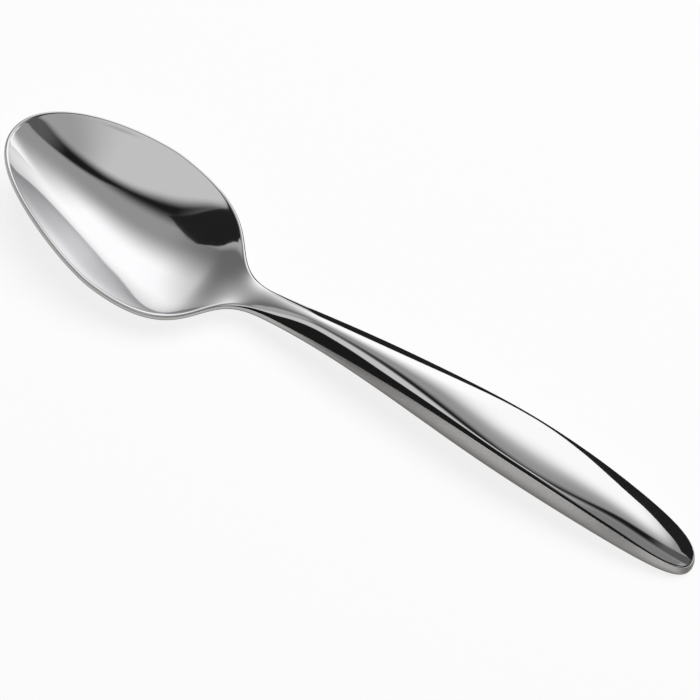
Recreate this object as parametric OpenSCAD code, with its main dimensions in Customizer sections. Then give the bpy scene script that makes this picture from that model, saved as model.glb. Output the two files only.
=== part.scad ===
// Teaspoon in polished steel, one forging with a deep egg-shaped bowl,
// a slim neck and a thick teardrop handle with a domed top, bevelled edges and flat sides.
// The bowl, the neck and the handle are three solids that meet face to face.
// The origin is on the table under the middle of the spoon.
// The bowl points to -X, the handle points to +X, and +Z is up.

/* [Overall] */
// Length from the tip of the bowl to the end of the handle
spoon_l = 152; // [135:1:185]

/* [Bowl] */
// Full width of the bowl at its widest
bowl_w = 34.8; // [28:0.2:42]
// Distance from the tip back to the widest place
bowl_wide_at = 28.6; // [24:0.2:34]
// Bluntness of the tip, as a share of half the width
tip_full = 0.66; // [0.5:0.01:0.85]
// Fullness of the outline ahead of the widest place, as a share of that length
front_full = 0.21; // [0.1:0.01:0.45]
// Fullness of the outline behind the widest place, as a share of the length to the neck
back_full = 0.78; // [0.6:0.01:0.85]
// Height of the rim above the table at the tip
tip_h = 15.5; // [12:0.1:19]
// Fall of the rim at the tip, in millimetres for each millimetre
tip_fall = 0.02; // [0:0.01:0.2]
// Fall of the bowl floor at the tip, in millimetres for each millimetre
floor_fall = 0.8; // [0.7:0.01:0.9]
// Distance from the tip back to the lowest place of the floor
floor_low_at = 33; // [29:0.5:37]
// Thickness of the metal in the bowl and at its rim
rim_t = 1.25; // [1:0.05:1.7]
// Width of the flat lip along the rim
lip_w = 0.6; // [0.4:0.05:0.8]
// Share of the hollow that is filled in toward the neck
shoulder_fill = 0.85; // [0:0.05:1]

/* [Neck] */
// Full width of the neck at its narrowest
neck_w = 6.3; // [5:0.1:9]
// Distance from the tip back to the narrowest place
neck_at = 57.4; // [53:0.2:62]
// Fullness of the outline ahead of the narrowest place, as a share of the length to the bowl
neck_front_full = 0.43; // [0.3:0.01:0.5]
// Fullness of the outline behind the narrowest place, as a share of the length to the handle
neck_back_full = 0.2; // [0.1:0.01:0.4]
// Height of the top edge above the table at the narrowest place
neck_h = 6.4; // [5.4:0.1:8]
// Rise of the top edge at the narrowest place, in millimetres for each millimetre
neck_rise = 0.19; // [0.1:0.01:0.26]
// Height of the rounded top above its bevels on the neck
neck_crown = 1.4; // [1:0.1:1.8]
// Width of the polished bevel on the neck
neck_bevel = 0.95; // [0.6:0.05:1.1]
// Depth of the rounded underside below its edges at the neck
neck_keel = 1.1; // [0.4:0.1:1.6]
// Length of the neck piece on the bowl side of the narrowest place
neck_front_l = 5; // [3:0.5:8]
// Length of the neck piece on the handle side of the narrowest place
neck_back_l = 16; // [8:0.5:22]

/* [Handle] */
// Full width of the handle at its widest
handle_w = 14.3; // [11:0.1:18]
// Distance from the end of the handle forward to the widest place
handle_wide_at = 35.9; // [28:0.1:44]
// Fullness of the outline ahead of the widest place, as a share of the length to the neck
handle_front_full = 0.33; // [0.2:0.01:0.5]
// Fullness of the outline behind the widest place, as a share of the length to the end
handle_back_full = 0.87; // [0.6:0.01:0.92]
// Bluntness of the end, as a share of half the width
end_full = 0.56; // [0.4:0.01:0.75]
// Fall of the top edge at the end, in millimetres for each millimetre
end_fall = 0.34; // [0.25:0.01:0.38]
// Height of the domed top above its bevels at the widest place
crown_h = 0.9; // [0.6:0.05:1.3]
// Height of the domed top above its bevels behind the widest place
end_crown = 1.45; // [1:0.05:1.8]
// Flatness of the domed top, where two is a parabola and more is flatter in the middle
dome_power = 2.5; // [2:0.1:3]
// Width of the polished bevel at the widest place
bevel_w = 0.52; // [0.3:0.02:0.7]
// Width of the polished bevel at the end
bevel_end = 0.25; // [0.15:0.05:0.4]
// Rise of the polished bevel, in millimetres for each millimetre of width
bevel_slope = 1.19; // [0.9:0.01:1.4]
// Height of the sides at the widest place
side_h = 3.8; // [3:0.1:4.4]
// Height of the sides at the end
end_h = 2.2; // [1.6:0.1:3]
// Outward slope of the sides from top to bottom
side_draft = 1.45; // [1:0.05:1.6]

/* [Smoothness] */
// Number of rows along each of the four lengths of outline
rows = 20; // [12:1:26]

/* [Hidden] */
steel = [0.78, 0.78, 0.8];
bowl_r = bowl_w / 2;
neck_r = neck_w / 2;
handle_r = handle_w / 2;
handle_x = spoon_l - handle_wide_at;
// Lengths from the widest place of the bowl to the neck and from the neck to the widest place of the handle
shoulder_l = neck_at - bowl_wide_at;
grip_l = handle_x - neck_at;
// Inset of the bottom corner and of the underside from the outline
foot_round = 0.35;
foot_flat = 1.2;
// Outward slope of the rim from top to bottom
rim_draft = 0.12;
// Rounding inside the lip, and between the dome and the bevel
lip_round = 0.3;
arris_round = 0.08;
// Inset and drop of the outer corner of the lip
corner_in = 0.12;
corner_drop = 0.06;
// Shares of the half width at which the section is pinned
spread = [0, 0.42, 0.82];

// Smooth step from 0 to 1 between two places
function ease(a, b, x) = let (t = min(1, max(0, (x - a) / (b - a)))) t * t * (3 - 2 * t);

// Value between two values
function mix(a, b, t) = a + (b - a) * t;

// Smooth curve between two heights with a given slope at each end
function sweep(x, x0, x1, z0, z1, s0, s1) =
    let (h = x1 - x0, t = (x - x0) / h)
    (2 * t^3 - 3 * t^2 + 1) * z0 + (t^3 - 2 * t^2 + t) * h * s0
    + (3 * t^2 - 2 * t^3) * z1 + (t^3 - t^2) * h * s1;

// Four lengths of the half outline, each a curve with two end points and two pulls
spans = [
    [[0, 0], [0, tip_full * bowl_r], [bowl_wide_at * (1 - front_full), bowl_r], [bowl_wide_at, bowl_r]],
    [[bowl_wide_at, bowl_r], [bowl_wide_at + back_full * shoulder_l, bowl_r],
     [neck_at - neck_front_full * shoulder_l, neck_r], [neck_at, neck_r]],
    [[neck_at, neck_r], [neck_at + neck_back_full * grip_l, neck_r],
     [handle_x - handle_front_full * grip_l, handle_r], [handle_x, handle_r]],
    [[handle_x, handle_r], [handle_x + handle_back_full * handle_wide_at, handle_r],
     [spoon_l, end_full * handle_r], [spoon_l, 0]]
];

// Point and direction on one length of outline
function on_span(p, t) =
    (1 - t)^3 * p[0] + 3 * (1 - t)^2 * t * p[1] + 3 * (1 - t) * t^2 * p[2] + t^3 * p[3];
function along_span(p, t) =
    let (d = (1 - t)^2 * (p[1] - p[0]) + 2 * (1 - t) * t * (p[2] - p[1]) + t^2 * (p[3] - p[2]))
    d / norm(d);

// Place on a length of outline at a given distance from the tip, found by halving
function find_t(p, x, lo = 0, hi = 1, n = 30) =
    let (mid = (lo + hi) / 2)
    n == 0 ? mid
    : on_span(p, mid)[0] < x ? find_t(p, x, mid, hi, n - 1)
    : find_t(p, x, lo, mid, n - 1);
function span_at(x) = x < bowl_wide_at ? 0 : x < neck_at ? 1 : x < handle_x ? 2 : 3;
function half_w(x) = let (p = spans[span_at(x)]) max(0.01, on_span(p, find_t(p, x))[1]);

// Place on the grip, as a share of the length from the neck to the widest place of the handle
function on_grip(s) = neck_at + s * grip_l;

// Height of the top edge
function edge_z(x) =
    x < neck_at
    ? sweep(x, 0, neck_at, tip_h, neck_h, -tip_fall, neck_rise)
    : sweep(x, neck_at, spoon_l, neck_h, end_h, neck_rise, -end_fall);

// Height of the bowl floor on the middle line, and its depth below the rim
function floor_z(x) =
    x < floor_low_at
    ? sweep(x, 0, floor_low_at, tip_h, rim_t, -floor_fall, 0)
    : sweep(x, floor_low_at, neck_at, rim_t, neck_h, 0, neck_rise);
function dish_d(x) = x < neck_at ? max(0, edge_z(x) - floor_z(x)) : 0;

// Depth of the hollow below the lip
function hollow_d(x, y) =
    x >= neck_at ? 0
    : x < bowl_wide_at
    ? let (
        u = max(0, bowl_wide_at - (bowl_wide_at - x) / (1 - lip_w / bowl_wide_at)),
        half = half_w(u) * (1 - lip_w / bowl_r)
      ) dish_d(u) * max(0, 1 - (y / half)^2)
    : let (
        p = spans[1],
        t = find_t(p, x),
        half = on_span(p, t)[1] - lip_w / along_span(p, t)[0],
        fill = shoulder_fill * ease(on_grip(-0.23), on_grip(-0.02), x)
      ) (1 - fill) * dish_d(x) * max(0, 1 - (y / half)^2);

// Width of the polished bevel along the top edge
function bevel_at(x) =
    ease(on_grip(-0.2), on_grip(0.22), x)
    * mix(
        mix(neck_bevel, bevel_w, ease(on_grip(0.3), on_grip(1), x)),
        bevel_end,
        ease(handle_x, spoon_l, x)
      );

// Height of the domed top above its bevels on the middle line, where the dome has a given half width
function dome_h(x, half) =
    ease(on_grip(-0.15), on_grip(0.2), x)
    * mix(
        mix(neck_crown, crown_h, ease(on_grip(0.15), on_grip(1), x)),
        end_crown,
        ease(handle_x, handle_x + 0.6 * handle_wide_at, x)
      )
    * (x > handle_x ? ease(0, 0.35 * handle_w, half) : 1);

// Depth of the rounded underside below its edges on the middle line
function keel_d(x) =
    neck_keel * ease(on_grip(-0.24), on_grip(-0.03), x) * (1 - ease(on_grip(0.14), on_grip(0.58), x));

// Height of the sides
function sides_h(x) =
    x < handle_x
    ? mix(rim_t, side_h, ease(on_grip(0.13), on_grip(0.88), x))
    : mix(side_h, end_h, ease(handle_x, spoon_l, x));

// Height of the upper and the lower surface anywhere inside the outline
function inside(x, y) = max(0, 1 - (y / half_w(x))^2);
function upper_z(x, y, half) =
    edge_z(x) + bevel_slope * bevel_at(x)
    + dome_h(x, half) * max(0, 1 - pow(y / max(half, 0.001), dome_power)) - hollow_d(x, y);
function lower_z(x, y) = edge_z(x) - sides_h(x) - (dish_d(x) + keel_d(x)) * inside(x, y);

// Half of the pinned section at a place on the outline, from the top middle round to the bottom middle
function half_pins(k, t) =
    let (
        p = on_span(spans[k], t),
        d = along_span(spans[k], t),
        cap = k == 0 || k == 3,
        share = ease(on_grip(-0.2), on_grip(0.22), p[0]),
        ridge = ease(on_grip(0.35), on_grip(0.7), p[0]),
        draft = mix(rim_draft, side_draft, ease(on_grip(-0.2), on_grip(0.75), p[0]))
            * mix(1, 0.5, ease(handle_x + 0.5 * handle_wide_at, spoon_l, p[0])),
        inset = cap ? [d[1], d[0]] : [0, 1 / d[0]],
        at = function (s) [p[0] + s * inset[0], max(0, p[1] - s * inset[1])],
        bevel = bevel_at(p[0]),
        rim = draft + mix(lip_w - rim_draft, bevel, share),
        top = at(rim + mix(lip_round, arris_round, ridge)),
        arris = at(rim),
        brow = at(draft + mix(corner_in, 0.1 * bevel, share)),
        cheek = at(mix(0.85, 0.95, share) * draft),
        foot = at(foot_round),
        flat = at(foot_flat),
        ze = edge_z(p[0]),
        h = sides_h(p[0])
    )
    concat(
        [for (v = spread) [top[0], v * top[1], upper_z(top[0], v * top[1], arris[1])]],
        [[top[0], top[1], upper_z(top[0], top[1], arris[1])]],
        [[arris[0], arris[1], upper_z(arris[0], arris[1], arris[1])]],
        [[brow[0], brow[1], edge_z(brow[0]) + mix(-corner_drop, 0.1 * bevel_slope * bevel, share)]],
        [[cheek[0], cheek[1], edge_z(cheek[0]) - mix(0.3, 0.06, share) * h]],
        [[p[0], p[1], ze - 0.82 * h]],
        [[foot[0], foot[1], lower_z(foot[0], foot[1])]],
        [[flat[0], flat[1], lower_z(flat[0], flat[1])]],
        [for (i = [2:-1:0]) [flat[0], spread[i] * flat[1], lower_z(flat[0], spread[i] * flat[1])]]
    );

// Whole pinned section, one half followed by its mirror image
function pins(k, t) =
    let (h = half_pins(k, t))
    concat(h, [for (i = [len(h) - 2:-1:1]) [h[i][0], -h[i][1], h[i][2]]]);

// Smooth closed ring near the pins, with two points for each pin
function ring(k, t) =
    let (c = pins(k, t), n = len(c))
    [for (i = [0:n - 1], s = [0, 0.5])
        ((1 - s)^3 * c[(i + n - 1) % n] + (3 * s^3 - 6 * s^2 + 4) * c[i]
        + (-3 * s^3 + 3 * s^2 + 3 * s + 1) * c[(i + 1) % n] + s^3 * c[(i + 2) % n]) / 6];

// Rings along part of one length of outline
function rings(k, t0, t1, n) = [for (i = [0:n]) ring(k, mix(t0, t1, i / n))];
function rest(list) = [for (i = [1:len(list) - 1]) list[i]];

// Rings of the three pieces, parted at two planes across the neck
bowl_t = find_t(spans[1], neck_at - neck_front_l);
handle_t = find_t(spans[2], neck_at + neck_back_l);
bowl_rings = concat(rings(0, 0, 1, rows), rest(rings(1, 0, bowl_t, rows)));
neck_rings = concat(rings(1, bowl_t, 1, 5), rest(rings(2, 0, handle_t, 10)));
handle_rings = concat(rings(2, handle_t, 1, rows), rest(rings(3, 0, 1, rows)));

// Lowest place of the spoon, which rests on the table, and the middle of its length
low_z = min([for (r = concat(bowl_rings, handle_rings), p = r) p[2]]);
mid_x = (min([for (p = bowl_rings[0]) p[0]]) + max([for (p = handle_rings[2 * rows]) p[0]])) / 2;

// Closed solid with its skin stretched over a row of rings.
// At a round end the two halves of the last ring fall on the middle plane and share their points.
// At a parting plane the last ring is closed with one flat face.
module skin(r, round_start = false, round_end = false) {
    n = len(r[0]);
    half = n / 2;
    last = len(r) - 1;
    middle = 2 * len(spread) - 2;
    points = [for (row = r, p = row) [p[0] - mid_x, p[1], p[2] - low_z]];
    folded = function (i) (round_start && i == 0) || (round_end && i == last);
    id = function (i, j)
        let (k = j % n)
        i * n + (folded(i) ? min(max(min(k, n - k), middle), half - middle) : k);
    walls = [for (i = [0:last - 1], j = [0:n - 1])
        let (a = id(i, j), b = id(i, j + 1), c = id(i + 1, j), d = id(i + 1, j + 1))
        each concat(a == b ? [] : [[a, b, d]], c == d ? [] : [[a, d, c]])];
    start = round_start ? [] : [[for (j = [n - 1:-1:0]) j]];
    end = round_end ? [] : [[for (j = [0:n - 1]) last * n + j]];
    polyhedron(points, concat(walls, start, end), convexity = 6);
}

module bowl() color(steel) skin(bowl_rings, round_start = true);
module neck() color(steel) skin(neck_rings);
module handle() color(steel) skin(handle_rings, round_end = true);

bowl();
neck();
handle();
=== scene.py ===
import math

import bmesh
import bpy
from bpy.props import FloatProperty, FloatVectorProperty, IntProperty, PointerProperty
from mathutils import Matrix, Vector
from mathutils.bvhtree import BVHTree


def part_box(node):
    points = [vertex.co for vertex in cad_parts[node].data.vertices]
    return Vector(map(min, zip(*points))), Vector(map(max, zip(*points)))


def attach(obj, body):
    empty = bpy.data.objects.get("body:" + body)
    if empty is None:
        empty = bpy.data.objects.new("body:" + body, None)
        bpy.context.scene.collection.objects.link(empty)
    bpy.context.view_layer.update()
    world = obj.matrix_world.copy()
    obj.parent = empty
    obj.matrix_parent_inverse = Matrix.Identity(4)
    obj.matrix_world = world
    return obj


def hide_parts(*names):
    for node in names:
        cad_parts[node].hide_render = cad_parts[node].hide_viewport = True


bl_info = {
    "name": "Polished Teaspoon",
    "version": (1, 0, 0),
    "blender": (4, 5, 0),
    "location": "3D View > Sidebar > Teaspoon",
    "description": "Builds a polished steel teaspoon and its studio",
    "category": "Object",
}

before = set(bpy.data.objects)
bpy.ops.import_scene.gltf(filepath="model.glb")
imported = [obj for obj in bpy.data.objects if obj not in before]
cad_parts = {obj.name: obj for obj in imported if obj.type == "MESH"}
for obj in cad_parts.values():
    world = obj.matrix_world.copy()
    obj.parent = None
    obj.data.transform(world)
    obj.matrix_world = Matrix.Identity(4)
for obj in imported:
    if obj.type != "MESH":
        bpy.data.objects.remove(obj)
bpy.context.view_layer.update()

# A distance in metres that is too small to matter
TINY = 1e-6


def length(name, text, value):
    return FloatProperty(
        name=name, description=text, default=value, min=0.0, subtype="DISTANCE", unit="LENGTH")


def share(name, text, value):
    return FloatProperty(
        name=name, description=text, default=value, min=0.0, max=2.0, subtype="FACTOR")


def slope(name, text, value):
    return FloatProperty(name=name, description=text, default=value)


def angle(name, text, degrees):
    return FloatProperty(
        name=name, description=text, default=math.radians(degrees), subtype="ANGLE")


def glow(name, text, value):
    return FloatProperty(name=name, description=text, default=value, min=0.0)


def colour(name, text, value):
    return FloatVectorProperty(
        name=name, description=text, default=value, size=3, min=0.0, max=1.0, subtype="COLOR")


class TeaspoonSizes(bpy.types.PropertyGroup):
    """Sizes of the spoon, the same as those of the solids"""

    spoon_l: length("Length", "From the tip of the bowl to the end of the handle", 0.152)
    bowl_w: length("Bowl width", "Full width of the bowl at its widest", 0.0348)
    bowl_wide_at: length("Bowl widest at", "From the tip back to the widest place", 0.0286)
    tip_full: share("Tip fullness", "Bluntness of the tip, as a share of half the width", 0.66)
    front_full: share("Front fullness", "Fullness of the outline ahead of the widest place", 0.21)
    back_full: share("Back fullness", "Fullness of the outline behind the widest place", 0.78)
    tip_h: length("Tip height", "Height of the rim above the table at the tip", 0.0155)
    tip_fall: slope("Tip fall", "Fall of the rim at the tip", 0.02)
    floor_fall: slope("Floor fall", "Fall of the bowl floor at the tip", 0.8)
    floor_low_at: length("Floor lowest at", "From the tip back to the lowest place of the floor", 0.033)
    rim_t: length("Rim thickness", "Thickness of the metal in the bowl and at its rim", 0.00125)
    lip_w: length("Lip width", "Width of the flat lip along the rim", 0.0006)
    shoulder_fill: share("Shoulder fill", "Share of the hollow that is filled in toward the neck", 0.85)
    lip_round: length("Lip rounding", "Rounding inside the lip", 0.0003)
    rim_draft: length("Rim draft", "Outward slope of the rim from top to bottom", 0.00012)
    neck_w: length("Neck width", "Full width of the neck at its narrowest", 0.0063)
    neck_at: length("Neck at", "From the tip back to the narrowest place", 0.0574)
    neck_front_full: share("Neck front fullness", "Fullness of the outline ahead of the neck", 0.43)
    neck_back_full: share("Neck back fullness", "Fullness of the outline behind the neck", 0.2)
    neck_h: length("Neck height", "Height of the top edge at the narrowest place", 0.0064)
    neck_rise: slope("Neck rise", "Rise of the top edge at the narrowest place", 0.19)
    neck_crown: length("Neck crown", "Height of the rounded top above its bevels", 0.0014)
    neck_keel: length("Neck keel", "Depth of the rounded underside below its edges", 0.0011)
    handle_w: length("Handle width", "Full width of the handle at its widest", 0.0143)
    handle_wide_at: length("Handle widest at", "From the end forward to the widest place", 0.0359)
    handle_front_full: share("Handle front fullness", "Fullness ahead of the widest place", 0.33)
    handle_back_full: share("Handle back fullness", "Fullness behind the widest place", 0.87)
    end_full: share("End fullness", "Bluntness of the end, as a share of half the width", 0.56)
    end_fall: slope("End fall", "Fall of the top edge at the end", 0.34)
    crown_h: length("Handle crown", "Height of the domed top above its bevels", 0.0009)
    end_crown: length("End crown", "Height of the domed top behind the widest place", 0.00145)
    side_h: length("Side height", "Height of the sides at the widest place", 0.0038)
    end_h: length("End height", "Height of the sides at the end", 0.0022)
    side_draft: length("Side draft", "Outward slope of the sides from top to bottom", 0.00145)
    neck_bevel: length("Bevel width on the neck", "Width of the polished bevel on the neck", 0.00095)
    bevel_w: length("Bevel width", "Width of the bevel at the widest place of the handle", 0.00052)
    bevel_end: length("Bevel width at the end", "Width of the bevel at the end of the handle", 0.00025)
    bevel_slope: slope("Bevel slope", "Rise of the polished bevel for its width", 1.19)
    dome_power: slope("Dome power", "Two gives a parabola, more a flatter middle of the dome", 2.5)
    arris_round: length("Arris rounding", "Rounding between the dome and the bevel", 0.00008)
    foot_round: length("Foot rounding", "Inset of the bottom corner", 0.00035)
    foot_flat: length("Foot inset", "Inset of the underside", 0.0012)
    row_gap: length("Row spacing", "Distance between sections along the outline", 0.0012)
    smooth: IntProperty(
        name="Smoothing", description="Subdivision of the swept skin", default=2, min=1, max=3)


class TeaspoonFinish(bpy.types.PropertyGroup):
    """Colours and polish of the steel, with the painted light and shade of its brushed sides"""

    steel: colour("Polished steel", "Colour of the mirror-polished faces", (0.8, 0.8, 0.81))
    # Partly real brushed steel colour, partly painted light: set lighter than plain brushed steel so that the
    # upper sides read bright
    side: colour("Brushed steel", "Colour of the ground and brushed sides", (0.71, 0.695, 0.68))
    # Painted shade: the dark brown the brushed sides turn toward their bottom edge and at the end of the
    # handle, standing in for the shadowed table they reflect
    side_painted_shade: colour("Brushed steel below", "Colour of the sides toward the bottom", (0.25, 0.235, 0.22))
    polish: share("Polish roughness", "Roughness of the mirror-polished faces", 0.05)
    brush: share("Brush roughness", "Roughness of the brushed sides", 0.34)


class TeaspoonStudio(bpy.types.PropertyGroup):
    """Camera and light"""

    lens: FloatProperty(
        name="Lens", description="Focal length on a 36 mm sensor", default=128.571, unit="CAMERA")
    turn: angle("Turn", "Camera turn about the spoon", -12.415)
    rise: angle("Rise", "Camera height angle above the table", 60.612)
    roll: angle("Roll", "Camera roll", -19.282)
    distance: length("Distance", "From the camera to the point it looks at", 0.46991)
    aim: FloatVectorProperty(
        name="Aim", description="Point that the camera looks at", default=(0.00014, -0.00077, 0.00792),
        subtype="TRANSLATION", unit="LENGTH")
    floor: colour("Floor", "Colour of the pale floor", (0.9, 0.9, 0.9))
    floor_seen: glow("Floor brightness", "Brightness of the floor to the camera", 1.03)
    floor_mirrored: glow("Mirrored floor", "Brightness of the floor in reflections", 0.6)
    floor_glow: share("Floor glow", "Share of the floor's look that is glow and not paper", 0.8)
    lamp: FloatProperty(name="Lamp", description="Power of the soft lamp", default=9.0, unit="POWER")
    ambient: glow("Ambient", "Brightness of the world as light", 0.012)
    tent: length("Tent radius", "From the spoon to the light tent", 0.5)
    scrim: glow("Scrim brightness", "Brightness of the scrim at its hot spot", 1.21)
    dim: glow("Scrim edge brightness", "Brightness of the scrim at its edges", 0.33)
    card: glow("Card brightness", "Brightness of the grey card at the camera side", 0.64)
    spill: glow("Spill", "Brightness of the dark gap in the tent", 0.012)
    flag: colour("Flags", "Colour of the black flags", (0.016, 0.016, 0.017))
    strip: glow("Strip brightness", "Brightness of the strip light above the handle", 1.18)
    end_card: glow("End card brightness", "Brightness of the card near the end of the handle", 0.23)


def ease(a, b, x):
    t = min(1.0, max(0.0, (x - a) / (b - a)))
    return t * t * (3.0 - 2.0 * t)


def mix(a, b, t):
    return a + (b - a) * t


def sweep(x, x0, x1, z0, z1, s0, s1):
    """Smooth curve between two heights with a given slope at each end"""
    h = x1 - x0
    t = (x - x0) / h
    return ((2 * t**3 - 3 * t**2 + 1) * z0 + (t**3 - 2 * t**2 + t) * h * s0
            + (3 * t**2 - 2 * t**3) * z1 + (t**3 - t**2) * h * s1)


class SpoonForm:
    """Outline and cross sections of the spoon, with x measured from the tip of the bowl"""

    # Points across half of the top and half of the underside, as shares of the half width
    spread = (0.0, 0.42, 0.82)

    # Stretches over which a form comes or goes: nought is the neck, one the widest place of the handle
    shoulder_fills = (-0.23, -0.02)
    bevel_starts, bevel_slims = (-0.2, 0.22), (0.3, 1)
    dome_starts, dome_lowers = (-0.15, 0.2), (0.15, 1)
    keel_starts, keel_stops = (-0.24, -0.03), (0.14, 0.58)
    sides_deepen = (0.13, 0.88)
    draft_opens = (-0.2, 0.75)
    arris_sharpens = (0.35, 0.7)

    # Behind the widest place of the handle, as shares of the way to its end and of its width
    crown_full_at = 0.6
    draft_closes_at = 0.5
    end_draft = 0.5
    end_dome = 0.35

    # Points down the side. A pair holds the share on the bowl and the share on the handle
    corner_in, corner_drop = 0.00012, 0.00006
    brow = 0.1
    cheek_in, cheek_drop = (0.85, 0.95), (0.3, 0.06)
    hip_drop = 0.82

    # Steps of the search along a span, and the least half width
    halvings = 30
    track_steps = 600
    least_half = 1e-5

    def __init__(self, sizes):
        s = self.s = sizes
        bowl_r, neck_r, handle_r = s.bowl_w / 2, s.neck_w / 2, s.handle_w / 2
        self.handle_x = s.spoon_l - s.handle_wide_at
        self.shoulder = s.neck_at - s.bowl_wide_at
        self.grip = self.handle_x - s.neck_at
        wide, hx = s.bowl_wide_at, self.handle_x
        self.spans = [[Vector(p) for p in span] for span in (
            ((0, 0), (0, s.tip_full * bowl_r), (wide * (1 - s.front_full), bowl_r), (wide, bowl_r)),
            ((wide, bowl_r), (wide + s.back_full * self.shoulder, bowl_r),
             (s.neck_at - s.neck_front_full * self.shoulder, neck_r), (s.neck_at, neck_r)),
            ((s.neck_at, neck_r), (s.neck_at + s.neck_back_full * self.grip, neck_r),
             (hx - s.handle_front_full * self.grip, handle_r), (hx, handle_r)),
            ((hx, handle_r), (hx + s.handle_back_full * s.handle_wide_at, handle_r),
             (s.spoon_l, s.end_full * handle_r), (s.spoon_l, 0)),
        )]

    def point(self, k, t):
        p = self.spans[k]
        return (1 - t)**3 * p[0] + 3 * (1 - t)**2 * t * p[1] + 3 * (1 - t) * t**2 * p[2] + t**3 * p[3]

    def direction(self, k, t):
        p = self.spans[k]
        d = (1 - t)**2 * (p[1] - p[0]) + 2 * (1 - t) * t * (p[2] - p[1]) + t**2 * (p[3] - p[2])
        return d.normalized()

    def over(self, stretch, x):
        """Smooth step from nought to one over a stretch of the grip"""
        start, stop = (self.s.neck_at + part * self.grip for part in stretch)
        return ease(start, stop, x)

    def place(self, x):
        """Span and parameter of the outline at a distance from the tip"""
        s = self.s
        k = 0 if x < s.bowl_wide_at else 1 if x < s.neck_at else 2 if x < self.handle_x else 3
        lo, hi = 0.0, 1.0
        for _ in range(self.halvings):
            mid = (lo + hi) / 2
            if self.point(k, mid).x < x:
                lo = mid
            else:
                hi = mid
        return k, (lo + hi) / 2

    def half_w(self, x):
        return max(self.least_half, self.point(*self.place(x)).y)

    def edge_z(self, x):
        s = self.s
        if x < s.neck_at:
            return sweep(x, 0, s.neck_at, s.tip_h, s.neck_h, -s.tip_fall, s.neck_rise)
        return sweep(x, s.neck_at, s.spoon_l, s.neck_h, s.end_h, s.neck_rise, -s.end_fall)

    def dish(self, x):
        s = self.s
        if x >= s.neck_at:
            return 0.0
        if x < s.floor_low_at:
            floor = sweep(x, 0, s.floor_low_at, s.tip_h, s.rim_t, -s.floor_fall, 0)
        else:
            floor = sweep(x, s.floor_low_at, s.neck_at, s.rim_t, s.neck_h, 0, s.neck_rise)
        return max(0.0, self.edge_z(x) - floor)

    def bevel(self, x):
        s = self.s
        width = mix(s.neck_bevel, s.bevel_w, self.over(self.bevel_slims, x))
        width = mix(width, s.bevel_end, ease(self.handle_x, s.spoon_l, x))
        return self.over(self.bevel_starts, x) * width

    def dome(self, x, half):
        s = self.s
        high = mix(s.neck_crown, s.crown_h, self.over(self.dome_lowers, x))
        full_x = self.handle_x + self.crown_full_at * s.handle_wide_at
        high = mix(high, s.end_crown, ease(self.handle_x, full_x, x))
        round_off = ease(0.0, self.end_dome * s.handle_w, half) if x > self.handle_x else 1.0
        return self.over(self.dome_starts, x) * high * round_off

    def keel(self, x):
        return self.s.neck_keel * self.over(self.keel_starts, x) * (1 - self.over(self.keel_stops, x))

    def sides(self, x):
        s = self.s
        if x < self.handle_x:
            return mix(s.rim_t, s.side_h, self.over(self.sides_deepen, x))
        return mix(s.side_h, s.end_h, ease(self.handle_x, s.spoon_l, x))

    def inside(self, x, y):
        return max(0.0, 1 - (y / self.half_w(x))**2)

    def hollow(self, x, y):
        """Depth of the bowl below its lip"""
        s = self.s
        if x >= s.neck_at:
            return 0.0
        if x < s.bowl_wide_at:
            x = max(0.0, s.bowl_wide_at - (s.bowl_wide_at - x) / (1 - s.lip_w / s.bowl_wide_at))
            half = self.half_w(x) * (1 - 2 * s.lip_w / s.bowl_w)
        else:
            k, t = self.place(x)
            half = self.point(k, t).y - s.lip_w / self.direction(k, t).x
        fill = s.shoulder_fill * self.over(self.shoulder_fills, x)
        return (1 - fill) * self.dish(x) * max(0.0, 1 - (y / half)**2)

    def upper(self, x, y, half):
        s = self.s
        swell = self.dome(x, half) * max(0.0, 1 - (y / max(half, TINY))**s.dome_power)
        return Vector((x, y, self.edge_z(x) + s.bevel_slope * self.bevel(x) + swell - self.hollow(x, y)))

    def lower(self, x, y):
        belly = (self.dish(x) + self.keel(x)) * self.inside(x, y)
        return Vector((x, y, self.edge_z(x) - self.sides(x) - belly))

    def section(self, k, t):
        """Pinned section at a place on the outline, once round from the top middle"""
        s = self.s
        p, d = self.point(k, t), self.direction(k, t)
        part = self.over(self.bevel_starts, p.x)
        draft = mix(s.rim_draft, s.side_draft, self.over(self.draft_opens, p.x))
        closes_x = self.handle_x + self.draft_closes_at * s.handle_wide_at
        draft *= mix(1.0, self.end_draft, ease(closes_x, s.spoon_l, p.x))
        inset = Vector((d.y, d.x)) if k in (0, 3) else Vector((0, 1 / d.x))

        def at(depth):
            return p.x + depth * inset.x, max(0.0, p.y - depth * inset.y)

        bevel = self.bevel(p.x)
        rim = draft + mix(s.lip_w - s.rim_draft, bevel, part)
        rounding = mix(s.lip_round, s.arris_round, self.over(self.arris_sharpens, p.x))
        top, arris, flat = at(rim + rounding), at(rim), at(s.foot_flat)
        brow = at(draft + mix(self.corner_in, self.brow * bevel, part))
        brow_rise = mix(-self.corner_drop, self.brow * s.bevel_slope * bevel, part)
        cheek = at(mix(*self.cheek_in, part) * draft)
        high = self.sides(p.x)
        half = [self.upper(top[0], v * top[1], arris[1]) for v in self.spread]
        half.append(self.upper(*top, arris[1]))
        half.append(self.upper(*arris, arris[1]))
        half.append(Vector((*brow, self.edge_z(brow[0]) + brow_rise)))
        half.append(Vector((*cheek, self.edge_z(cheek[0]) - mix(*self.cheek_drop, part) * high)))
        half.append(Vector((p.x, p.y, self.edge_z(p.x) - self.hip_drop * high)))
        half.append(self.lower(*at(s.foot_round)))
        half.append(self.lower(*flat))
        half += [self.lower(flat[0], v * flat[1]) for v in reversed(self.spread)]
        return half + [Vector((q.x, -q.y, q.z)) for q in half[-2:0:-1]]

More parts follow.
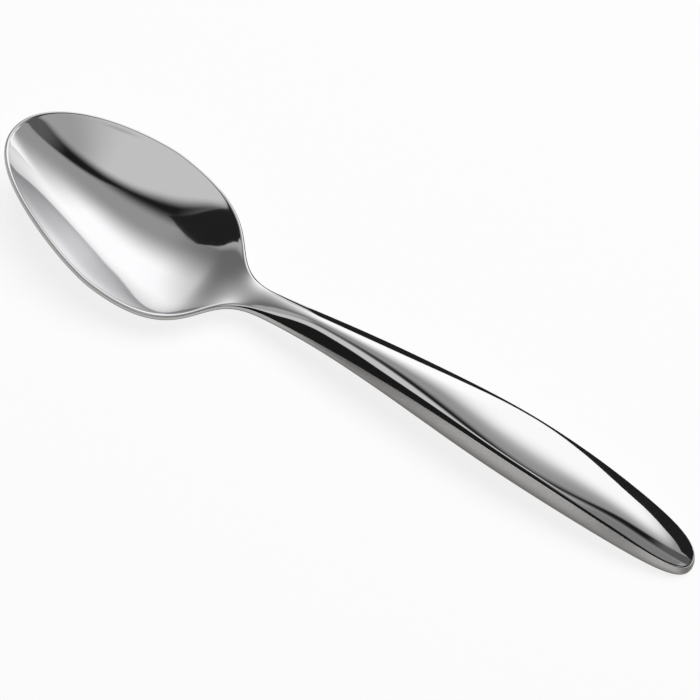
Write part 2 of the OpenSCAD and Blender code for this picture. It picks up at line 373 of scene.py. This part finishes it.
    def stations(self):
        """Places along the outline at even distances, as span and parameter"""
        track, far = [(0.0, 0, 0.0)], 0.0
        last = self.point(0, 0.0)
        for k in range(len(self.spans)):
            for i in range(1, self.track_steps + 1):
                t = i / self.track_steps
                here = self.point(k, t)
                far += (here - last).length
                last = here
                track.append((far, k, t))
        count = round(far / self.s.row_gap)
        slack = 1e-9
        places, i = [], 0
        for n in range(count + 1):
            goal = far * n / count
            while i < len(track) - 1 and track[i][0] < goal - slack:
                i += 1
            places.append(track[i][1:])
        return places


def clear_selection():
    if bpy.context.mode != "OBJECT":
        bpy.ops.object.mode_set(mode="OBJECT")
    bpy.ops.object.select_all(action="DESELECT")


def only(obj):
    """Makes one object the selected and active one"""
    clear_selection()
    obj.select_set(True)
    bpy.context.view_layer.objects.active = obj


def sweep_skin(form):
    """Extrudes one ring of edges along the spoon, section by section, and closes both ends"""
    rows = [form.section(k, t) for k, t in form.stations()]
    around = len(rows[0])
    clear_selection()
    bpy.ops.mesh.primitive_circle_add(vertices=around, radius=form.s.neck_w / 2, enter_editmode=True)
    blank = bpy.context.object
    blank.name = "blank"
    mesh = bmesh.from_edit_mesh(blank.data)
    mesh.verts.ensure_lookup_table()
    ring = list(mesh.verts)
    where = {}
    for i, row in enumerate(rows):
        if i:
            bpy.ops.mesh.extrude_edges_move()
            mesh = bmesh.from_edit_mesh(blank.data)
            ring = [next(e.other_vert(v) for e in v.link_edges if e.other_vert(v).select) for v in ring]
        for j, (vert, place) in enumerate(zip(ring, row)):
            vert.co = place
            where[vert] = (i / (len(rows) - 1), j)
    # The UV map runs along the spoon and once round the section
    layer = mesh.loops.layers.uv.verify()
    for face in mesh.faces:
        wrap = any(where[loop.vert][1] == around - 1 for loop in face.loops)
        for loop in face.loops:
            along, j = where[loop.vert]
            loop[layer].uv = (along, (around if wrap and j == 0 else j) / around)
    bmesh.update_edit_mesh(blank.data)
    bpy.ops.mesh.select_all(action="SELECT")
    bpy.ops.mesh.remove_doubles(threshold=TINY)
    bpy.ops.mesh.normals_make_consistent(inside=False)
    bpy.ops.object.mode_set(mode="OBJECT")
    return blank


def apply_smoothing(blank, levels):
    """Smooths the blank and sets it on the table, with the middle of its length at the origin"""
    only(blank)
    skin = blank.modifiers.new("smooth", "SUBSURF")
    skin.levels = levels
    skin.render_levels = levels
    bpy.ops.object.modifier_apply(modifier=skin.name)
    bpy.ops.object.shade_smooth()
    along = [v.co.x for v in blank.data.vertices]
    lowest = min(v.co.z for v in blank.data.vertices)
    blank.data.transform(Matrix.Translation((-(min(along) + max(along)) / 2, 0, -lowest)))
    return blank


def blend_normal(whole, tree, place):
    """Normal of the whole skin at a place on it"""
    face = whole.polygons[tree.find_nearest(place)[2]]
    least = 1e-7
    total = Vector()
    for index in face.vertices:
        vert = whole.vertices[index]
        total += vert.normal / ((vert.co - place).length + least)
    return total.normalized()


def cut_piece(blank, name, front, back):
    """Copies the blank and cuts it at the parting planes, keeping the shading of the whole"""
    piece = blank.copy()
    piece.data = blank.data.copy()
    piece.name = piece.data.name = name
    bpy.context.collection.objects.link(piece)
    only(piece)
    bpy.ops.object.mode_set(mode="EDIT")
    for x, side in ((front, -1), (back, 1)):
        if x is None:
            continue
        bpy.ops.mesh.select_all(action="SELECT")
        bpy.ops.mesh.bisect(
            plane_co=(x, 0, 0), plane_no=(side, 0, 0), use_fill=True, clear_outer=True, threshold=TINY)
    bpy.ops.object.mode_set(mode="OBJECT")
    whole = blank.data
    tree = BVHTree.FromPolygons([v.co for v in whole.vertices], [p.vertices for p in whole.polygons])
    normals = []
    for face in piece.data.polygons:
        face.use_smooth = True
        many_sided = len(face.vertices) > 4
        for index in face.vertices:
            if many_sided:
                normals.append(face.normal)
            else:
                normals.append(blend_normal(whole, tree, piece.data.vertices[index].co))
    piece.data.normals_split_custom_set(normals)
    return piece


class Shader:
    """Adds, sets and links the nodes of one material or world"""

    def __init__(self, owner):
        owner.use_nodes = True
        self.tree = owner.node_tree
        self.tree.nodes.clear()

    def add(self, kind, inputs=None, **settings):
        """Adds a node. Each of its inputs is linked to an output or set to a constant"""
        made = self.tree.nodes.new(kind)
        for key, value in settings.items():
            setattr(made, key, value)
        for key, value in (inputs or {}).items():
            if isinstance(value, bpy.types.NodeSocket):
                self.tree.links.new(value, made.inputs[key])
            else:
                made.inputs[key].default_value = value
        return made

    def calc(self, operation, *values):
        return self.add("ShaderNodeMath", dict(enumerate(values)), operation=operation).outputs[0]

    def ramp(self, value, start, stop, low=0.0, high=1.0, kind="SMOOTHSTEP"):
        """Runs from low to high while the value runs from start to stop"""
        return self.add("ShaderNodeMapRange", {
            "Value": value, "From Min": start, "From Max": stop, "To Min": low, "To Max": high,
        }, interpolation_type=kind).outputs[0]

    def between(self, kind, factor, a, b):
        return self.add("ShaderNodeMix", {"Factor": factor, "A": a, "B": b}, data_type=kind).outputs["Result"]

    def blend(self, factor, first, second):
        return self.add("ShaderNodeMixShader", {"Fac": factor, 1: first.outputs[0], 2: second.outputs[0]})

    def noise(self, place, scale):
        return self.add("ShaderNodeTexNoise", {"Vector": place, "Scale": scale, "Detail": 3.0}).outputs["Fac"]

    def object_place(self):
        return self.add("ShaderNodeTexCoord").outputs["Object"]

    def split(self, vector):
        return self.add("ShaderNodeSeparateXYZ", {0: vector}).outputs

    def rays(self):
        """Camera rays alone, and camera, glossy and transmission rays together"""
        ray = self.add("ShaderNodeLightPath").outputs
        seen = self.calc("MAXIMUM", ray["Is Camera Ray"], ray["Is Glossy Ray"])
        return ray["Is Camera Ray"], self.calc("MAXIMUM", seen, ray["Is Transmission Ray"])

    def finish(self, surface, kind="ShaderNodeOutputMaterial"):
        self.add(kind, {"Surface": surface.outputs[0]})


def steel_material(finish):
    """Mirror-polished steel with fine polishing lines, and brushed marks along the ground sides, whose colour
    carries painted shade toward the bottom and at the end of the handle
    """
    made = bpy.data.materials.get("spoon_steel")
    if made:
        return made
    made = bpy.data.materials.new("spoon_steel")
    shader = Shader(made)
    ramp, calc = shader.ramp, shader.calc
    uv = shader.add("ShaderNodeUVMap", uv_map="UVMap").outputs["UV"]
    parts = shader.split(uv)
    # How far round the section: half at the top middle, nought at the bottom middle
    turn = calc("ABSOLUTE", calc("SUBTRACT", parts["Y"], 0.5))
    below_bevel = ramp(turn, 0.281, 0.264)
    above_foot = ramp(turn, 0.165, 0.185)
    ground = calc("MULTIPLY", below_bevel, above_foot)

    # Marks are drawn out along the spoon, and smears are not
    stretch = shader.add("ShaderNodeMapping", {"Vector": uv, "Scale": (60.0, 900.0, 1.0)})
    marks = shader.noise(stretch.outputs[0], 1.0)
    smears = shader.noise(shader.object_place(), 90.0)

    def vary(pattern, middle, by):
        return ramp(pattern, 0.3, 0.7, middle * (1 - by), middle * (1 + by), "LINEAR")

    rough = shader.between("FLOAT", ground, vary(smears, finish.polish, 0.3), vary(marks, finish.brush, 0.25))
    # Painted shade: the brushed sides turn dark toward their bottom edge, standing in for the shadowed table
    # they reflect, and at the end of the handle
    painted_shade_foot = ramp(turn, 0.248, 0.195)
    painted_shade_end = ramp(parts["X"], 0.965, 0.988)
    shade = calc("MAXIMUM", painted_shade_foot, painted_shade_end)
    side = shader.between("RGBA", shade, (*finish.side, 1.0), (*finish.side_painted_shade, 1.0))
    tint = shader.between("RGBA", ground, (*finish.steel, 1.0), side)
    depth = ramp(ground, 0.0, 1.0, 0.004, 0.12, "LINEAR")
    bump = shader.add("ShaderNodeBump", {"Distance": 0.00003, "Strength": depth, "Height": marks})
    shader.finish(shader.add("ShaderNodeBsdfPrincipled", {
        "Metallic": 1.0, "Base Color": tint, "Roughness": rough, "Normal": bump.outputs["Normal"],
    }))
    return made


def dress(piece, node_name):
    piece.data.materials.clear()
    piece.data.materials.append(steel_material(bpy.context.scene.teaspoon_finish))
    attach(piece, "root")
    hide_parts(node_name)


def spoon_blank():
    found = bpy.data.objects.get("blank")
    if found:
        return found
    sizes = bpy.context.scene.teaspoon_sizes
    return apply_smoothing(sweep_skin(SpoonForm(sizes)), sizes.smooth)


class TEASPOON_OT_bowl(bpy.types.Operator):
    """Make the egg-shaped bowl"""

    bl_idname = "teaspoon.bowl"
    bl_label = "Bowl"

    def execute(self, context):
        dress(cut_piece(spoon_blank(), "spoon_bowl", None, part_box("bowl")[1][0]), "bowl")
        return {"FINISHED"}


class TEASPOON_OT_neck(bpy.types.Operator):
    """Make the slim rounded neck"""

    bl_idname = "teaspoon.neck"
    bl_label = "Neck"

    def execute(self, context):
        low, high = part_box("neck")
        dress(cut_piece(spoon_blank(), "spoon_neck", low[0], high[0]), "neck")
        return {"FINISHED"}


class TEASPOON_OT_handle(bpy.types.Operator):
    """Make the teardrop handle, and clear the blank away"""

    bl_idname = "teaspoon.handle"
    bl_label = "Handle"

    def execute(self, context):
        blank = spoon_blank()
        dress(cut_piece(blank, "spoon_handle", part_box("handle")[0][0], None), "handle")
        bpy.data.objects.remove(blank)
        return {"FINISHED"}


def flag_material(studio):
    made = bpy.data.materials.new("flag_black")
    shader = Shader(made)
    shader.finish(shader.add("ShaderNodeEmission", {"Color": (*studio.flag, 1.0)}))
    return made


def tent_material(studio):
    """Light tent: a scrim with a hot spot on the far side, a gap overhead and a grey card on the near side"""
    made = bpy.data.materials.new("tent_glow")
    shader = Shader(made)
    ramp, calc = shader.ramp, shader.calc
    away = shader.add("ShaderNodeVectorMath", {0: shader.object_place()}, operation="NORMALIZE").outputs[0]
    parts = shader.split(away)
    along = parts["X"]
    # Angle from overhead, positive on the far side
    tilt = calc("ARCTAN2", parts["Y"], parts["Z"])

    def tilted(start, stop, low=0.0, high=1.0):
        return ramp(tilt, math.radians(start), math.radians(stop), low, high)

    def beyond(facing, start, stop, low=0.0, high=1.0):
        """Ramp across a plane through the origin that faces a given way"""
        height = shader.add("ShaderNodeVectorMath", {0: away, 1: facing}, operation="DOT_PRODUCT")
        return ramp(height.outputs["Value"], start, stop, low, high)

    # The scrim is brightest in its hot spot, and dims to the left and toward the table
    hot_width = calc("MINIMUM", ramp(along, 0.71, 0.24), ramp(along, -0.8, -0.35))
    hot = calc("MULTIPLY", tilted(8, 48, 0.0, studio.scrim - studio.dim), hot_width)
    rest = ramp(along, -0.75, -0.2, 0.45 * studio.dim, studio.dim)
    foot = tilted(90, 68, 0.6, 1.0)

    # Two planes give the scrim its near edge, and past both ends of the spoon it reaches over the gap
    right_edge = beyond((0.0565, 0.966, 0.254), -0.02, 0.2)
    left_edge = beyond((-0.42, 0.839, 0.35), -0.03, 0.05)
    right_end = ramp(along, 0.62, 0.72, 0.0, 0.3)
    left_end = ramp(along, -0.12, -0.5, 0.0, 0.6)
    ends = calc("MULTIPLY", calc("MAXIMUM", right_end, left_end), tilted(-40, -25))
    edge = calc("MAXIMUM", calc("MINIMUM", right_edge, left_edge), ends)
    scrim = calc("MULTIPLY", calc("MULTIPLY", calc("ADD", hot, rest), edge), foot)

    # The grey card dims to the right, has a fill at its left and stops above the table
    left_fill = calc("MULTIPLY", ramp(along, -0.3, -0.62, 0.0, 0.42), tilted(12, 0))
    card_edge = beyond((0.101, -0.923, -0.371), -0.07, 0.1, 0.0, studio.card)
    card = calc("MULTIPLY", card_edge, ramp(along, 0.42, 0.62, 1.0, 0.6))
    card_foot = beyond((0.0, 0.5, 0.866), -0.02, 0.06)
    card = calc("MULTIPLY", calc("MAXIMUM", left_fill, card), card_foot)

    strength = calc("ADD", calc("MAXIMUM", scrim, card), studio.spill)
    shader.finish(shader.add("ShaderNodeEmission", {"Strength": strength}))
    return made


def soft_material(name, strength, fades):
    """Glow that fades to clear between two places along an axis, for each of the fades"""
    made = bpy.data.materials.new(name)
    shader = Shader(made)
    parts = shader.split(shader.object_place())
    ramps = [shader.ramp(parts[axis], start, stop) for axis, start, stop in fades]
    cover = ramps[0]
    for fade in ramps[1:]:
        cover = shader.calc("MULTIPLY", cover, fade)
    clear = shader.add("ShaderNodeBsdfTransparent")
    light = shader.add("ShaderNodeEmission", {"Strength": strength})
    shader.finish(shader.blend(cover, clear, light))
    return made


def reflected_only(panel, material):
    panel.data.materials.append(material)
    panel.visible_camera = False
    panel.visible_diffuse = False
    panel.visible_shadow = False
    panel.visible_transmission = False


def add_tent(radius, material):
    """Adds a ball and keeps its upper half"""
    clear_selection()
    bpy.ops.mesh.primitive_uv_sphere_add(segments=96, ring_count=64, radius=radius, enter_editmode=True)
    tent = bpy.context.object
    tent.name = tent.data.name = "tent"
    bpy.ops.mesh.select_all(action="SELECT")
    bpy.ops.mesh.bisect(plane_co=(0, 0, 0), plane_no=(0, 0, 1), clear_inner=True)
    bpy.ops.object.mode_set(mode="OBJECT")
    reflected_only(tent, material)


def level_at(z, *places):
    """Corners of a level panel at a height"""
    return [(x, y, z) for x, y in places]


def upright_at(y, *places):
    """Corners of an upright panel along the spoon, at a distance from its middle"""
    return [(x, y, z) for x, z in places]


def add_panel(name, corners, material):
    """Adds a flat panel with its corners at the given places"""
    clear_selection()
    bpy.ops.mesh.primitive_circle_add(vertices=len(corners), fill_type="NGON", enter_editmode=True)
    panel = bpy.context.object
    panel.name = panel.data.name = name
    mesh = bmesh.from_edit_mesh(panel.data)
    for vert, corner in zip(mesh.verts, corners):
        vert.co = corner
    bmesh.update_edit_mesh(panel.data)
    bpy.ops.object.mode_set(mode="OBJECT")
    reflected_only(panel, material)


class TEASPOON_OT_stage(bpy.types.Operator):
    """Make the floor, the lamp, the light tent with its flags and soft panels, and the camera"""

    bl_idname = "teaspoon.stage"
    bl_label = "Studio"

    def execute(self, context):
        studio = context.scene.teaspoon_studio
        self.floor(studio)
        self.lamp(studio)
        add_tent(studio.tent, tent_material(studio))
        self.flags(studio)
        self.soft_panels(studio)
        self.world(context.scene, studio)
        self.camera(context.scene, studio)
        context.scene.view_settings.view_transform = "Standard"
        return {"FINISHED"}

    def floor(self, studio):
        clear_selection()
        bpy.ops.mesh.primitive_plane_add(size=12)
        floor = bpy.context.object
        floor.name = floor.data.name = "floor"
        made = bpy.data.materials.new("pale_floor")
        shader = Shader(made)
        camera_ray, seen_ray = shader.rays()
        strength = shader.ramp(camera_ray, 0.0, 1.0, studio.floor_mirrored, studio.floor_seen, "LINEAR")
        paper = shader.add("ShaderNodeBsdfDiffuse", {"Color": (*studio.floor, 1.0)})
        light = shader.add("ShaderNodeEmission", {"Strength": strength})
        shader.finish(shader.blend(shader.calc("MULTIPLY", seen_ray, studio.floor_glow), paper, light))
        floor.data.materials.append(made)

    def lamp(self, studio):
        bpy.ops.object.light_add(type="AREA", location=(0.0, 0.25, 0.9))
        lamp = bpy.context.object
        lamp.name = "soft_lamp"
        lamp.data.shape = "DISK"
        lamp.data.size = 0.9
        lamp.data.energy = studio.lamp
        lamp.visible_glossy = False
        lamp.rotation_euler = (math.radians(-15), 0, 0)

    def flags(self, studio):
        """Black flags: one behind the handle, one at its foot on the table and one above the bowl"""
        black = flag_material(studio)
        add_panel("far_flag", upright_at(
            0.06, (-0.03, 0.0), (-0.03, 0.025), (0.03, 0.029), (0.06, 0.034),
            (0.09, 0.042), (0.115, 0.062), (0.2, 0.1), (0.2, 0.0)), black)
        add_panel("foot_flag", level_at(
            0.0005, (-0.03, 0.01), (-0.03, 0.06), (0.2, 0.06),
            (0.2, -0.02), (0.08, -0.02), (0.08, 0.01)), black)
        add_panel("bowl_flag", level_at(
            0.04, (-0.0455, -0.001), (-0.0545, 0.0085), (-0.0735, 0.0065),
            (-0.0735, 0.003), (-0.058, -0.004), (-0.0495, -0.003)), black)

    def soft_panels(self, studio):
        """A strip light above the handle, and a grey card at the near side of its end"""
        strip_fades = (("X", 0.012, 0.04), ("X", 0.14, 0.095), ("Y", -0.007, 0.045))
        add_panel("strip_light", level_at(
            0.07, (0.01, -0.01), (0.15, -0.01), (0.15, 0.15), (0.01, 0.15),
        ), soft_material("strip_glow", studio.strip, strip_fades))
        card_fades = (("X", 0.06, 0.1), ("Y", -0.022, -0.048))
        add_panel("end_card", level_at(
            0.1, (0.05, -0.02), (0.05, -0.25), (0.3, -0.25), (0.3, -0.02),
        ), soft_material("card_glow", studio.end_card, card_fades))

    def world(self, scene, studio):
        scene.world = bpy.data.worlds.new("studio")
        shader = Shader(scene.world)
        seen_ray = shader.rays()[1]
        strength = shader.ramp(seen_ray, 0.0, 1.0, studio.ambient, 1.0, "LINEAR")
        shader.finish(shader.add("ShaderNodeBackground", {"Strength": strength}), "ShaderNodeOutputWorld")

    def camera(self, scene, studio):
        clear_selection()
        bpy.ops.object.camera_add()
        camera = bpy.context.object
        camera.name = "camera"
        camera.data.sensor_width = 36.0
        camera.data.lens = studio.lens
        camera.data.clip_start = 0.01
        a, e, r = studio.turn, studio.rise, studio.roll
        look = Vector((math.cos(e) * math.sin(a), math.cos(e) * math.cos(a), -math.sin(e)))
        right = look.cross(Vector((0, 0, 1))).normalized()
        down = look.cross(right)
        across = right * math.cos(r) + down * math.sin(r)
        up = right * math.sin(r) - down * math.cos(r)
        turn = Matrix((across, up, -look)).transposed().to_4x4()
        camera.matrix_world = Matrix.Translation(Vector(studio.aim) - look * studio.distance) @ turn
        scene.camera = camera


class TEASPOON_PT_panel(bpy.types.Panel):
    """Sizes, finish and studio of the teaspoon"""

    bl_idname = "TEASPOON_PT_panel"
    bl_label = "Teaspoon"
    bl_space_type = "VIEW_3D"
    bl_region_type = "UI"
    bl_category = "Teaspoon"

    def draw(self, context):
        scene = context.scene
        for group in (scene.teaspoon_sizes, scene.teaspoon_finish, scene.teaspoon_studio):
            box = self.layout.box()
            for key in group.bl_rna.properties.keys():
                if key not in ("rna_type", "name"):
                    box.prop(group, key)
        for kind in (TEASPOON_OT_bowl, TEASPOON_OT_neck, TEASPOON_OT_handle, TEASPOON_OT_stage):
            self.layout.operator(kind.bl_idname)


CLASSES = (
    TeaspoonSizes, TeaspoonFinish, TeaspoonStudio,
    TEASPOON_OT_bowl, TEASPOON_OT_neck, TEASPOON_OT_handle, TEASPOON_OT_stage, TEASPOON_PT_panel,
)


def register():
    for kind in CLASSES:
        bpy.utils.register_class(kind)
    bpy.types.Scene.teaspoon_sizes = PointerProperty(type=TeaspoonSizes)
    bpy.types.Scene.teaspoon_finish = PointerProperty(type=TeaspoonFinish)
    bpy.types.Scene.teaspoon_studio = PointerProperty(type=TeaspoonStudio)


def unregister():
    del bpy.types.Scene.teaspoon_studio
    del bpy.types.Scene.teaspoon_finish
    del bpy.types.Scene.teaspoon_sizes
    for kind in reversed(CLASSES):
        bpy.utils.unregister_class(kind)


def main():
    register()
    bpy.ops.teaspoon.bowl()
    bpy.ops.teaspoon.neck()
    bpy.ops.teaspoon.handle()
    bpy.ops.teaspoon.stage()


if __name__ == "__main__":
    main()
